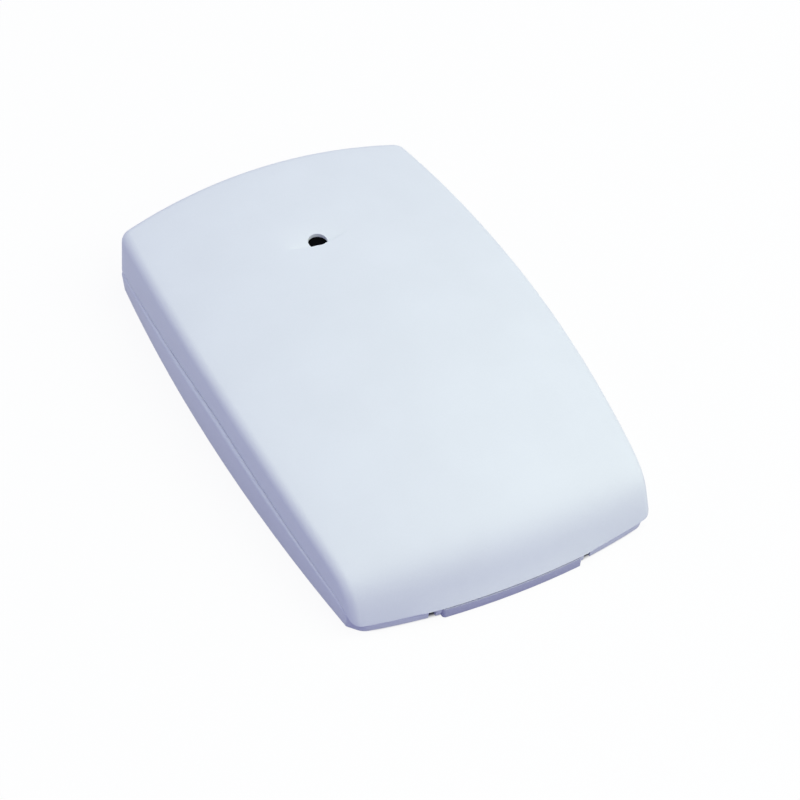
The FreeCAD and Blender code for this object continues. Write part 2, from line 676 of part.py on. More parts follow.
def package(at, size):
    body = slab(at[0], at[1], BOARD_TOP + PACKAGE_STAND, size[0], size[1], size[2] - PACKAGE_STAND)
    top = [edge for edge in body.Edges if edge.BoundBox.ZMin > BOARD_TOP + size[2] / 2]
    body = body.makeChamfer(0.25, top)
    mark_x = at[0] - size[0] / 2 + 1
    mark_y = at[1] - size[1] / 2 + 1
    return body.cut(rod(mark_x, mark_y, BOARD_TOP + size[2] - 0.1, 0.4, 1))


def package_leads(at, size, pins):
    leads = []
    knee = LEAD_REACH - LEAD_FOOT
    middle_z = BOARD_TOP + size[2] / 2
    for side in (-1, 1):
        face = size[1] / 2
        profile = [
            (face, middle_z),
            (face + knee, middle_z),
            (face + knee, BOARD_TOP + LEAD_THICKNESS),
            (face + LEAD_REACH, BOARD_TOP + LEAD_THICKNESS),
            (face + LEAD_REACH, BOARD_TOP),
            (face + knee - LEAD_THICKNESS, BOARD_TOP),
            (face + knee - LEAD_THICKNESS, middle_z - LEAD_THICKNESS),
            (face, middle_z - LEAD_THICKNESS),
        ]
        for pin in range(pins):
            x = at[0] + PIN_PITCH * (pin - (pins - 1) / 2) - LEAD_WIDTH / 2
            points = [FreeCAD.Vector(x, at[1] + side * y, z) for y, z in profile]
            face_shape = Part.Face(Part.makePolygon(points + points[:1]))
            leads.append(face_shape.extrude(FreeCAD.Vector(LEAD_WIDTH, 0, 0)))
    return leads


def amplifier_bodies():
    return Part.makeCompound([package(at, AMPLIFIER) for at in AMPLIFIERS_AT])


def amplifier_leads():
    leads = []
    for at in AMPLIFIERS_AT:
        leads += package_leads(at, AMPLIFIER, AMPLIFIER_PINS)
    return Part.makeCompound(leads)


def relay():
    body = slab(RELAY_AT[0], RELAY_AT[1], BOARD_TOP, *RELAY)
    upper = [edge for edge in body.Edges if edge.BoundBox.ZMax > BOARD_TOP + RELAY[2] / 2]
    return body.makeFillet(0.5, upper)


def capacitor_base():
    side = CAPACITOR_SIDE
    base = slab(CAPACITOR_AT[0], CAPACITOR_AT[1], BOARD_TOP, side, side, CAPACITOR_BASE)
    corners = [edge for edge in base.Edges if edge.BoundBox.ZLength > CAPACITOR_BASE / 2]
    corners = [edge for edge in corners if edge.BoundBox.YMax > CAPACITOR_AT[1]]
    return base.makeChamfer(1.2, corners)


def capacitor_can():
    z = BOARD_TOP + CAPACITOR_BASE
    can = rod(CAPACITOR_AT[0], CAPACITOR_AT[1], z, CAPACITOR_R, CAPACITOR_HEIGHT)
    rounds = [edge for edge in can.Edges if edge.BoundBox.ZLength < 0.1]
    return can.makeFillet(0.35, rounds)


def crystal():
    x, y = CRYSTAL_AT
    brim = slab(x, y, BOARD_TOP, CRYSTAL[0], CRYSTAL[1], CRYSTAL_BRIM)
    can = slab(x, y, BOARD_TOP, CRYSTAL[0] - 0.9, CRYSTAL[1] - 0.9, CRYSTAL[2])
    pieces = []
    for piece, r in ((brim, CRYSTAL[1] / 2 - 0.05), (can, CRYSTAL[1] / 2 - 0.5)):
        uprights = [edge for edge in piece.Edges if edge.BoundBox.XLength + edge.BoundBox.YLength < 0.1]
        pieces.append(piece.makeFillet(r, uprights))
    return fuse(pieces)


def varistor():
    x, y = VARISTOR_AT
    z = BOARD_TOP + VARISTOR_R + 0.6
    start = FreeCAD.Vector(x - VARISTOR_THICKNESS / 2, y, z)
    disc = Part.makeCylinder(VARISTOR_R, VARISTOR_THICKNESS, start, FreeCAD.Vector(1, 0, 0))
    rounds = [edge for edge in disc.Edges if edge.BoundBox.XLength < 0.1]
    return disc.makeFillet(1.0, rounds)


def varistor_leads():
    x, y = VARISTOR_AT
    leads = []
    for side in (-1, 1):
        top = BOARD_TOP + VARISTOR_R + 0.6
        lead = rod(x, y + side * VARISTOR_R / 2, BOARD_TOP, VARISTOR_LEAD_R, top - BOARD_TOP)
        leads.append(lead.cut(varistor()))
    return Part.makeCompound(leads)


def led(x):
    flange = rod(x, LED_Y, BOARD_TOP, LED_FLANGE_R, LED_FLANGE)
    barrel = rod(x, LED_Y, BOARD_TOP, LED_R, LED_BARREL)
    dome = Part.makeSphere(LED_R, FreeCAD.Vector(x, LED_Y, BOARD_TOP + LED_BARREL))
    return fuse([flange, barrel, dome])


def header_base():
    base = slab(HEADER_AT[0], HEADER_AT[1], BOARD_TOP, 2 * HEADER_PITCH, HEADER_PITCH, HEADER_HEIGHT)
    uprights = [edge for edge in base.Edges if edge.BoundBox.ZLength > HEADER_HEIGHT / 2]
    base = base.makeChamfer(0.4, uprights)
    holes = [slab(x, HEADER_AT[1], BOARD_TOP - 1, HEADER_PIN, HEADER_PIN, HEIGHT) for x in header_xs()]
    return cut(base, holes)


def header_pins():
    z = BOARD_BOTTOM - PIN_REACH
    height = HEADER_PIN_HEIGHT + BOARD_TOP - z
    pins = [slab(x, HEADER_AT[1], z, HEADER_PIN, HEADER_PIN, height) for x in header_xs()]
    return Part.makeCompound(pins)


def jumper_cap():
    z = BOARD_TOP + HEADER_HEIGHT + JUMPER_LIFT
    cap = slab(HEADER_AT[0], HEADER_AT[1], z, *JUMPER)
    upper = [edge for edge in cap.Edges if edge.BoundBox.ZMin > z + JUMPER[2] / 2]
    cap = cap.makeChamfer(0.3, upper)
    pin_top = BOARD_TOP + HEADER_PIN_HEIGHT
    side = HEADER_PIN + 2 * PLUNGER_CLEARANCE
    holes = [slab(x, HEADER_AT[1], z - 1, side, side, pin_top - z + 1.05) for x in header_xs()]
    return cut(cap, holes)


def chips(x, ys):
    return Part.makeCompound([slab(x, y, BOARD_TOP, *CHIP) for y in ys])


def all_nodes():
    nodes = {
        "front_cover": front_cover(),
        "dust_felt": dust_felt(),
        "rear_housing": rear_housing(),
        "circuit_board": circuit_board(),
        "board_screws": board_screws(),
        "microphone_boot": microphone_boot(),
        "microphone_capsule": microphone_capsule(),
        "terminal_block": terminal_block(),
        "terminal_cages": terminal_cages(),
        "terminal_screws": terminal_screws(),
        "terminal_pins": terminal_pins(),
        "dip_body": dip_body(),
        "tamper_body": tamper_body(),
        "tamper_plunger": tamper_plunger(),
        "processor": package(PROCESSOR_AT, PROCESSOR),
        "processor_leads": Part.makeCompound(package_leads(PROCESSOR_AT, PROCESSOR, PROCESSOR_PINS)),
        "amplifiers": amplifier_bodies(),
        "amplifier_leads": amplifier_leads(),
        "relay": relay(),
        "capacitor_base": capacitor_base(),
        "capacitor_can": capacitor_can(),
        "crystal": crystal(),
        "varistor": varistor(),
        "varistor_leads": varistor_leads(),
        "led_red": led(LED_XS[0]),
        "led_green": led(LED_XS[1]),
        "header_base": header_base(),
        "header_pins": header_pins(),
        "jumper_cap": jumper_cap(),
        "chip_resistors": chips(RESISTOR_X, RESISTOR_YS),
        "chip_capacitors": chips(CERAMIC_X, CERAMIC_YS),
    }
    for pole in range(DIP_POLES):
        nodes["dip_slider_%d" % (pole + 1)] = dip_slider(pole)
    return nodes


def main():
    os.makedirs("parts", exist_ok=True)
    for name, shape in all_nodes().items():
        shape.exportStep("parts/%s.step" % name)


main()
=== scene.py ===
import json
import math

import bmesh
import bpy
from bpy.props import FloatProperty, FloatVectorProperty, PointerProperty
from mathutils import Matrix, Vector


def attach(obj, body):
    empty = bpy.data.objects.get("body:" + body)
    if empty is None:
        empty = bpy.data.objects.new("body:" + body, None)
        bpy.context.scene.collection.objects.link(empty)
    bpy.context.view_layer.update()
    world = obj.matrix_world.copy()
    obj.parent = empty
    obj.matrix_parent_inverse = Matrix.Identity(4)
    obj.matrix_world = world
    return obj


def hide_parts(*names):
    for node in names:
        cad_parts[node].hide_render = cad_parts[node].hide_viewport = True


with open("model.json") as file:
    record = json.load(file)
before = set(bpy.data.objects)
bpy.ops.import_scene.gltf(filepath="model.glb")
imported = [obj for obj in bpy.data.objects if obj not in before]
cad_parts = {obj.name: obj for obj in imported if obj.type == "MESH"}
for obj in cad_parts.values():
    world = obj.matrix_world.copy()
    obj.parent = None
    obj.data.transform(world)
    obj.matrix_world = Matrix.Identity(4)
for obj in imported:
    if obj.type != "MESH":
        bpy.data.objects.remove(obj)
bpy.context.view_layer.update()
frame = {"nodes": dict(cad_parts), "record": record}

bl_info = {
    "name": "Glass break sensor",
    "version": (1, 0, 0),
    "blender": (4, 5, 0),
    "location": "View3D > Sidebar > Sensor",
    "description": "Dresses the glass break sensor and sets its stage",
    "category": "Object",
}

MM = 0.001
NODES = frame["nodes"]
BODY_OF = {
    node: body
    for body, nodes in frame["record"]["behaviour"]["bodies"].items()
    for node in nodes
}

# Edges between two faces are smooth below this angle, in degrees
CREASE = 32.0
# A mesh's points closer than this, in metres, are one point
WELD = 1e-6

# The latch panel of the base, in the CAD solid
PANEL_HALF = 13.2 * MM
PANEL_TOP = 1.8 * MM
PANEL_FRONT = -47.2 * MM
PANEL_FOOT_OUT = 0.5 * MM
# How far the finished panel stands out of the case at each height, in millimetres, from its foot
# to its top edge
PANEL_PROFILE = ((0.0, 0.44), (1.0, 0.5), (1.8, 0.38))
# Faces whose normal leans to Z by more than this are the panel's top and foot, not its face
PANEL_FLAT = 0.9
PANEL_SLACK = 0.01 * MM

# A ramp along a length: where it starts, where it ends and how long it is in all, in millimetres
GRIP_AND_SHADE_SIDE = (13.24, 13.36, 20.0)
GRIP_AND_SHADE_FRONT = (47.34, 47.58, 60.0)
CAN_TOP = (13.1, 13.2, 20.0)
# The floor glows white outside an outline that hides under the case, whose ends are bowed
# Inside the outline the floor is a painted shadow: dark, and without the glow
UNDER_X = (24.0, 26.0, 40.0)
UNDER_Y = (48.0, 48.8, 60.0)
UNDER_BOW = 232.0

# Colours, as linear red, green and blue
# Painted shade on the latch panel: tones darker than the base plastic, for the shade on its face
PAINTED_PANEL_SHADE_DARK = (0.44, 0.45, 0.57)
PAINTED_PANEL_SHADE_LIGHT = (0.55, 0.56, 0.70)
TIN = (0.68, 0.68, 0.66)
INK = (0.03, 0.03, 0.035)
WHITE = (1.0, 1.0, 1.0)
FLOOR_SEEN = (0.95, 0.95, 0.95)
FLOOR_LIT = (0.28, 0.27, 0.44)
# Painted shadow: the floor's colour under the case
FLOOR_PAINTED_SHADOW = (0.2, 0.2, 0.22)
FILL_COLOUR = (1.03, 1.0, 2.0)

# In front of FOOT_FRONT and below FOOT_HEIGHT the cover's foot runs out by FOOT_OUT. This grows
# over FOOT_FADE of height and fades along X between the two of FOOT_SIDE. All in millimetres.
FOOT_OUT = 0.35
FOOT_FRONT = -45.0
FOOT_HEIGHT = 5.0
FOOT_FADE = 3.0
FOOT_SIDE = (13.5, 20.0)

# Places and sizes of parts on the board, in millimetres
CAN_CENTRE_X = 16.0
CAN_RADIUS = 3.15
CAN_STRIPE = 0.42 * CAN_RADIUS
CHIP_ROW_X = 20.5
CHIP_HALF_BODY = 0.68
TRACK_PITCH = 1.27
TRACK_FIELD = 7.0

# How far the floor lies under the sensor, and its share of plain white light
FLOOR_DROP = 0.2 * MM
FLOOR_GLOW = 0.92
# The camera's film in millimetres, and the nearest that it sees in metres
FILM_WIDTH = 36
CLIP_START = 0.01
# Each softbox's name, the setting that holds its power, its place, width and colour
SOFTBOXES = (
    ("key_softbox", "key_power", (0.31, -0.33, 0.89), 1.3, (0.93, 1.0, 0.645)),
    ("left_softbox", "left_power", (-0.753, 0.435, 0.233), 0.7, (0.9, 1.0, 0.6)),
    ("right_softbox", "right_power", (0.85, -0.2, 0.3), 0.5, (0.93, 1.0, 0.75)),
)


class Wire:
    """One socket's value in a material, with Python's own arithmetic."""

    def __init__(self, shade, socket):
        self.shade = shade
        self.socket = socket

    def _math(self, operation, *values):
        return self.shade.add("ShaderNodeMath", {"operation": operation}, dict(enumerate(values)))

    def __add__(self, other):
        return self._math("ADD", self, other)

    def __radd__(self, other):
        return self._math("ADD", other, self)

    def __sub__(self, other):
        return self._math("SUBTRACT", self, other)

    def __rsub__(self, other):
        return self._math("SUBTRACT", other, self)

    def __mul__(self, other):
        return self._math("MULTIPLY", self, other)

    def __truediv__(self, other):
        return self._math("DIVIDE", self, other)

    def __neg__(self):
        return self._math("MULTIPLY", self, -1.0)

    def __gt__(self, other):
        return self._math("GREATER_THAN", self, other)

    def __abs__(self):
        return self._math("ABSOLUTE", self)

    def pingpong(self, span):
        """Runs up and down between 0 and the span."""
        return self._math("PINGPONG", self, span)


class Shade:
    """A material and the nodes it is made of. Lengths in it are millimetres."""

    def __init__(self, name):
        self.material = bpy.data.materials.new(name)
        self.material.use_nodes = True
        self.tree = self.material.node_tree
        self.tree.nodes.clear()
        self.surface = self.tree.nodes.new("ShaderNodeBsdfPrincipled")
        self.output = self.tree.nodes.new("ShaderNodeOutputMaterial")
        self.tree.links.new(self.surface.outputs["BSDF"], self.output.inputs["Surface"])
        coordinates = self.tree.nodes.new("ShaderNodeTexCoord")
        metres = Wire(self, coordinates.outputs["Object"])
        self.place = self.add(
            "ShaderNodeVectorMath", {"operation": "SCALE"}, {0: metres, "Scale": 1 / MM})
        self.axes = None

    def add(self, kind, settings, values, output=0):
        """Adds a node, sets or links its inputs, and gives one of its outputs."""
        node = self.tree.nodes.new(kind)
        for key, value in settings.items():
            setattr(node, key, value)
        for key, value in values.items():
            if isinstance(value, Wire):
                self.tree.links.new(value.socket, node.inputs[key])
            else:
                node.inputs[key].default_value = value
        return Wire(self, node.outputs[output])

    def ramp(self, factor, stops):
        node = self.tree.nodes.new("ShaderNodeValToRGB")
        while len(node.color_ramp.elements) < len(stops):
            node.color_ramp.elements.new(1.0)
        for element, (position, value) in zip(node.color_ramp.elements, stops):
            element.position = position
            element.color = (value, value, value, 1.0)
        self.tree.links.new(factor.socket, node.inputs["Fac"])
        return Wire(self, node.outputs["Color"])

    def rise(self, length, limits):
        """Goes from 0 to 1 along a length."""
        start, end, span = limits
        return self.ramp(length / span, [(start / span, 0.0), (end / span, 1.0)])

    def fall(self, length, limits):
        """Goes from 1 to 0 along a length."""
        start, end, span = limits
        return self.ramp(length / span, [(start / span, 1.0), (end / span, 0.0)])

    def axis(self, letter):
        if self.axes is None:
            split = self.tree.nodes.new("ShaderNodeSeparateXYZ")
            self.tree.links.new(self.place.socket, split.inputs[0])
            self.axes = {name: Wire(self, split.outputs[name]) for name in "XYZ"}
        return self.axes[letter]

    def stretched(self, x, y, z):
        return self.add(
            "ShaderNodeVectorMath", {"operation": "MULTIPLY"}, {0: self.place, 1: (x, y, z)})

    def noise(self, size, detail, vector=None):
        values = {"Vector": vector or self.place, "Scale": 1 / size, "Detail": detail}
        return self.add("ShaderNodeTexNoise", {}, values)

    def mix(self, factor, first, second):
        node = self.tree.nodes.new("ShaderNodeMix")
        node.data_type = "RGBA"
        node.clamp_factor = True
        self.tree.links.new(factor.socket, node.inputs[0])
        for key, value in ((6, first), (7, second)):
            if isinstance(value, Wire):
                self.tree.links.new(value.socket, node.inputs[key])
            else:
                node.inputs[key].default_value = (*value, 1.0)
        return Wire(self, node.outputs[2])

    def feed(self, socket, value):
        target = self.surface.inputs[socket]
        if isinstance(value, Wire):
            self.tree.links.new(value.socket, target)
        else:
            target.default_value = value

    def glow(self, share):
        """Mixes plain white light into the surface by a share."""
        white = self.add("ShaderNodeEmission", {}, {"Color": (*WHITE, 1), "Strength": 1.0})
        surface = Wire(self, self.surface.outputs["BSDF"])
        mixer = self.add("ShaderNodeMixShader", {}, {0: share, 1: surface, 2: white})
        self.tree.links.new(mixer.socket, self.output.inputs["Surface"])

    def bump(self, height, relief):
        """Raises the surface by height times relief millimetres."""
        values = {"Height": height, "Strength": 1.0, "Distance": relief * MM}
        self.feed("Normal", self.add("ShaderNodeBump", {}, values))


def seen_rays(tree):
    """Gives a socket that is 1 where the camera, a mirror or glass sees the surface."""
    path = tree.nodes.new("ShaderNodeLightPath")
    seen = path.outputs["Is Camera Ray"]
    for ray in ("Is Glossy Ray", "Is Transmission Ray"):
        either = tree.nodes.new("ShaderNodeMath")
        either.operation = "MAXIMUM"
        tree.links.new(seen, either.inputs[0])
        tree.links.new(path.outputs[ray], either.inputs[1])
        seen = either.outputs[0]
    return seen


def darker(colour, share):
    return tuple(channel * share for channel in colour)


def moulded(name, colour, roughness, grain, relief=0.006, tint=0.97, specular=0.12, grip_and_shade=False):
    """Injection-moulded plastic with the fine spark-eroded grain of its tool.

    With grip, the latch panel has a coarser grain to hold the thumb, and darker painted shade."""
    shade = Shade(name)
    drift = shade.noise(size=14.0, detail=3.0)
    speckle = shade.noise(size=grain, detail=3.0)
    blend = shade.ramp(drift * 0.7 + speckle * 0.3, [(0.35, 0.0), (0.65, 1.0)])
    body = shade.mix(blend, darker(colour, tint), colour)
    rough = (speckle - 0.5) * 0.12 + roughness + (drift - 0.5) * 0.06
    height = speckle
    if grip_and_shade:
        across = shade.fall(abs(shade.axis("X")), GRIP_AND_SHADE_SIDE)
        panel = across * shade.rise(-shade.axis("Y"), GRIP_AND_SHADE_FRONT)
        pits = shade.noise(size=0.22, detail=2.0)
        # Painted shade: the panel's colour is mixed to two darker tones for the shade on its
        # upright face
        body = shade.mix(panel, body, shade.mix(pits, PAINTED_PANEL_SHADE_DARK, PAINTED_PANEL_SHADE_LIGHT))
        rough = rough + panel * 0.2
        height = speckle + panel * pits * 3.0
    shade.bump(height, relief)
    shade.feed("Base Color", body)
    shade.feed("Roughness", rough)
    shade.feed("Specular IOR Level", specular)
    return shade.material


def pressed_metal(name, colour, roughness, lines=0.12, along=(1.0, 1.0, 0.08)):
    """Metal with the fine lines that rolling, drawing or turning leaves."""
    shade = Shade(name)
    brushed = shade.noise(size=lines, detail=4.0, vector=shade.stretched(*along))
    stain = shade.noise(size=3.0, detail=3.0)
    clean = shade.ramp(stain, [(0.3, 0.0), (0.7, 1.0)])
    shade.feed("Base Color", shade.mix(clean, darker(colour, 0.82), colour))
    shade.feed("Metallic", 1.0)
    shade.feed("Roughness", roughness + (brushed - 0.5) * 0.25 + (stain - 0.5) * 0.15)
    shade.bump(brushed, 0.003)
    return shade.material


def felted(name, colour):
    """Pressed black felt: fine crossing fibres with a loose nap."""
    shade = Shade(name)
    long_way = shade.noise(size=0.12, detail=4.0, vector=shade.stretched(1.0, 0.2, 1.0))
    cross_way = shade.noise(size=0.12, detail=4.0, vector=shade.stretched(0.2, 1.0, 1.0))
    fibres = long_way * 0.5 + cross_way * 0.5
    raised = shade.ramp(fibres, [(0.4, 0.0), (0.6, 1.0)])
    shade.feed("Base Color", shade.mix(raised, darker(colour, 0.4), colour))
    shade.feed("Roughness", 0.85 + (fibres - 0.5) * 0.2)
    shade.feed("Specular IOR Level", 0.02)
    shade.feed("Sheen Weight", 0.005)
    shade.bump(fibres, 0.08)
    return shade.material


def solder_mask(name, colour):
    """Green mask over runs of parallel copper tracks, with the glass weave showing faintly."""
    shade = Shade(name)
    flat = shade.stretched(1.0, 1.0, 0.0)
    fields = shade.add(
        "ShaderNodeTexVoronoi", {"distance": "CHEBYCHEV"},
        {"Vector": flat, "Scale": 1 / TRACK_FIELD}, "Color")
    upright = shade.add("ShaderNodeSeparateColor", {}, {"Color": fields}) > 0.5
    beside_x = shade.axis("X").pingpong(TRACK_PITCH / 2)
    beside_y = shade.axis("Y").pingpong(TRACK_PITCH / 2)
    beside = beside_x * upright + beside_y * (1.0 - upright)
    copper = shade.ramp(beside, [(0.16, 1.0), (0.19, 0.0)])
    warp = shade.noise(size=0.5, detail=1.0, vector=shade.stretched(1.0, 0.12, 1.0))
    weft = shade.noise(size=0.5, detail=1.0, vector=shade.stretched(0.12, 1.0, 1.0))
    weave = warp * weft
    body = shade.mix(weave * 2.0, darker(colour, 0.75), colour)
    over_copper = (colour[0] * 2.2, colour[1] * 1.5, colour[2] * 1.5)
    shade.feed("Base Color", shade.mix(copper, body, over_copper))
    shade.feed("Roughness", 0.26 + weave * 0.15)
    shade.feed("Coat Weight", 0.4)
    shade.bump(copper * 0.8 + weave * 0.2, 0.03)
    return shade.material


def tipped_chip(name, colour, centre_x):
    """A chip component with tinned ends, lying along X."""
    shade = Shade(name)
    # The tin starts halfway along a ramp of 1 mm
    reach = abs(shade.axis("X") - centre_x) - (CHIP_HALF_BODY - 0.5)
    tin = shade.ramp(reach, [(0.49, 0.0), (0.51, 1.0)])
    dust = shade.noise(size=0.2, detail=3.0)
    body = shade.mix(dust, darker(colour, 0.8), colour)
    shade.feed("Base Color", shade.mix(tin, body, TIN))
    shade.feed("Metallic", tin * 0.9)
    shade.feed("Roughness", 0.35 + dust * 0.2)
    shade.bump(dust * 0.3 + tin * 0.7, 0.02)
    return shade.material


def striped_can(name, colour):
    """A drawn aluminium can with a black segment on its top."""
    shade = Shade(name)
    brushed = shade.noise(size=0.1, detail=4.0, vector=shade.stretched(1.0, 1.0, 0.05))
    on_top = shade.rise(shade.axis("Z"), CAN_TOP)
    ink = (shade.axis("X") - CAN_CENTRE_X > CAN_STRIPE) * on_top
    shade.feed("Base Color", shade.mix(ink, colour, INK))
    shade.feed("Metallic", 1.0 - ink * 0.9)
    shade.feed("Roughness", 0.24 + brushed * 0.15 + ink * 0.25)
    shade.bump(brushed, 0.003)
    return shade.material


def tinted_lens(name, colour):
    """Tinted epoxy with a soft haze."""
    shade = Shade(name)
    haze = shade.noise(size=0.6, detail=2.0)
    shade.feed("Base Color", shade.mix(haze, darker(colour, 0.7), colour))
    shade.feed("Roughness", 0.08 + haze * 0.08)
    shade.feed("Transmission Weight", 0.35)
    shade.feed("IOR", 1.5)
    shade.feed("Coat Weight", 0.5)
    shade.bump(haze, 0.004)
    return shade.material


def dress(node, material):
    """Puts the material on a CAD node's own mesh."""
    for slot in NODES[node].material_slots:
        slot.material = material


def panel_reach(z):
    """How far the finished latch panel stands out of the case at a height."""
    for (low, low_out), (high, high_out) in zip(PANEL_PROFILE, PANEL_PROFILE[1:]):
        if z <= high * MM + WELD:
            share = max(z / MM - low, 0.0) / (high - low)
            return (low_out + (high_out - low_out) * share) * MM
    return 0.0


def round_latch_panel(work):
    """Stands the latch panel's slanted face upright and rounds it."""
    def on_panel(vert):
        x, y, z = vert.co
        inside = abs(x) < PANEL_HALF + PANEL_SLACK and z < PANEL_TOP + PANEL_SLACK
        return inside and y < PANEL_FRONT

    faces = [
        face for face in work.faces
        if abs(face.normal.z) < PANEL_FLAT and all(map(on_panel, face.verts))
    ]
    geom = set(faces)
    for face in faces:
        geom.update(face.edges)
        geom.update(face.verts)
    geom = list(geom)
    for height, _ in PANEL_PROFILE[1:-1]:
        plane = (0, 0, height * MM)
        cut = bmesh.ops.bisect_plane(
            work, geom=geom, dist=1e-8, plane_co=plane, plane_no=(0, 0, 1))
        geom = cut["geom"]
    slope = PANEL_FOOT_OUT / PANEL_TOP
    faces = [item for item in geom if isinstance(item, bmesh.types.BMFace)]
    for vert in {vert for face in faces for vert in face.verts}:
        vert.co.y -= panel_reach(vert.co.z) - (PANEL_TOP - vert.co.z) * slope


def flare_cover_foot(work):
    """Lets the roll run out to the latch panel's upright face."""
    inner, outer = FOOT_SIDE
    for vert in work.verts:
        x, y, z = (value / MM for value in vert.co)
        if y < FOOT_FRONT and z < FOOT_HEIGHT:
            down = min((FOOT_HEIGHT - z) / FOOT_FADE, 1.0)
            side = min(max((outer - abs(x)) / (outer - inner), 0.0), 1.0)
            vert.co.y -= FOOT_OUT * MM * down ** 2 * side ** 2 * (3 - 2 * side)


def finished_copy(node, piece, material, reshape):
    """Makes a smooth-shaded, slightly reshaped piece that stands for a CAD node."""
    mesh = bpy.data.meshes.new(piece)
    work = bmesh.new()
    work.from_mesh(NODES[node].data)
    bmesh.ops.remove_doubles(work, verts=work.verts, dist=WELD)
    reshape(work)
    work.normal_update()
    for face in work.faces:
        face.smooth = True
        face.material_index = 0
    for edge in work.edges:
        if len(edge.link_faces) == 2:
            edge.smooth = edge.calc_face_angle() < math.radians(CREASE)
    work.to_mesh(mesh)
    work.free()
    mesh.materials.append(material)
    made = bpy.data.objects.new(piece, mesh)
    bpy.context.scene.collection.objects.link(made)
    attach(made, BODY_OF[node])
    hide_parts(node)


def add_floor(scene, width):
    """Adds a pale floor white to the camera but for the sensor's shadow, painted under the case.
    """
    half = width / 2
    mesh = bpy.data.meshes.new("floor")
    corners = [(-half, -half, 0), (half, -half, 0), (half, half, 0), (-half, half, 0)]
    mesh.from_pydata(corners, [], [(0, 1, 2, 3)])
    floor = bpy.data.objects.new("floor", mesh)
    scene.collection.objects.link(floor)
    floor.location.z = -FLOOR_DROP
    shade = Shade("paper_white")
    seen = Wire(shade, seen_rays(shade.tree))
    x, y = abs(shade.axis("X")), abs(shade.axis("Y"))
    past_x = shade.rise(x, UNDER_X)
    past_y = shade.rise(y + x * x / UNDER_BOW, UNDER_Y)
    # Clear of the case's outline; inside it the floor is a painted shadow, dark and without glow
    clear = past_x + past_y - past_x * past_y
    tone = shade.mix(seen, FLOOR_LIT, FLOOR_SEEN)
    shade.feed("Base Color", shade.mix(clear, FLOOR_PAINTED_SHADOW, tone))
    shade.feed("Roughness", 0.9 + (shade.noise(size=0.8, detail=3.0) * 0.04 - 0.02))
    shade.feed("Specular IOR Level", 0.1)
    shade.glow(seen * clear * FLOOR_GLOW)
    mesh.materials.append(shade.material)


def add_world(scene, fill_strength):
    """Adds soft light from all sides, and white where the world itself is seen."""
    world = bpy.data.worlds.new("studio")
    scene.world = world
    world.use_nodes = True
    tree = world.node_tree
    tree.nodes.clear()
    fill = tree.nodes.new("ShaderNodeBackground")
    fill.inputs["Color"].default_value = (*FILL_COLOUR, 1)
    fill.inputs["Strength"].default_value = fill_strength
    white = tree.nodes.new("ShaderNodeBackground")
    white.inputs["Color"].default_value = (*WHITE, 1)
    mixer = tree.nodes.new("ShaderNodeMixShader")
    output = tree.nodes.new("ShaderNodeOutputWorld")
    for socket, source in enumerate((seen_rays(tree), fill.outputs[0], white.outputs[0])):
        tree.links.new(source, mixer.inputs[socket])
    tree.links.new(mixer.outputs[0], output.inputs["Surface"])


def add_softbox(scene, name, power, place, width, colour):
    """Adds a square lamp that faces the sensor."""
    lamp = bpy.data.lights.new(name, "AREA")
    lamp.size = width
    lamp.energy = power
    lamp.color = colour
    box = bpy.data.objects.new(name, lamp)
    box.location = place
    box.rotation_euler = (-Vector(place)).to_track_quat("-Z", "Y").to_euler()
    scene.collection.objects.link(box)


def add_camera(scene, stage):
    """Adds the camera, which looks at the sensor from the settings' direction."""
    turn, height, roll = stage.turn, stage.height, stage.roll
    level = Vector((math.sin(turn), -math.cos(turn), 0))
    back = level * math.cos(height) + Vector((0, 0, math.sin(height)))
    right = Vector((math.cos(turn), math.sin(turn), 0))
    up = back.cross(right)
    across = right * math.cos(roll) + up * math.sin(roll)
    upward = up * math.cos(roll) - right * math.sin(roll)
    data = bpy.data.cameras.new("camera")
    data.lens = stage.lens
    data.sensor_width = FILM_WIDTH
    data.clip_start = CLIP_START
    camera = bpy.data.objects.new("camera", data)
    place = back * stage.distance + across * stage.shift_right + upward * stage.shift_up
    facing = Matrix((across, upward, back)).transposed().to_4x4()
    camera.matrix_world = Matrix.Translation(place) @ facing
    scene.collection.objects.link(camera)
    scene.camera = camera


class CaseSettings(bpy.types.PropertyGroup):
    cover_colour: FloatVectorProperty(
        name="Cover colour", description="Colour of the front cover's plastic",
        subtype="COLOR", size=3, default=(0.80, 0.835, 0.875), min=0, max=1)
    base_colour: FloatVectorProperty(
        name="Base colour", description="Colour of the rear housing's plastic",
        subtype="COLOR", size=3, default=(0.76, 0.79, 0.85), min=0, max=1)
    grain: FloatProperty(
        name="Grain", description="Size of the moulding grain in millimetres",
        default=0.35, min=0.05, max=2)
    roughness: FloatProperty(
        name="Roughness", description="How matt the plastic is",
        default=0.5, min=0, max=1, subtype="FACTOR")


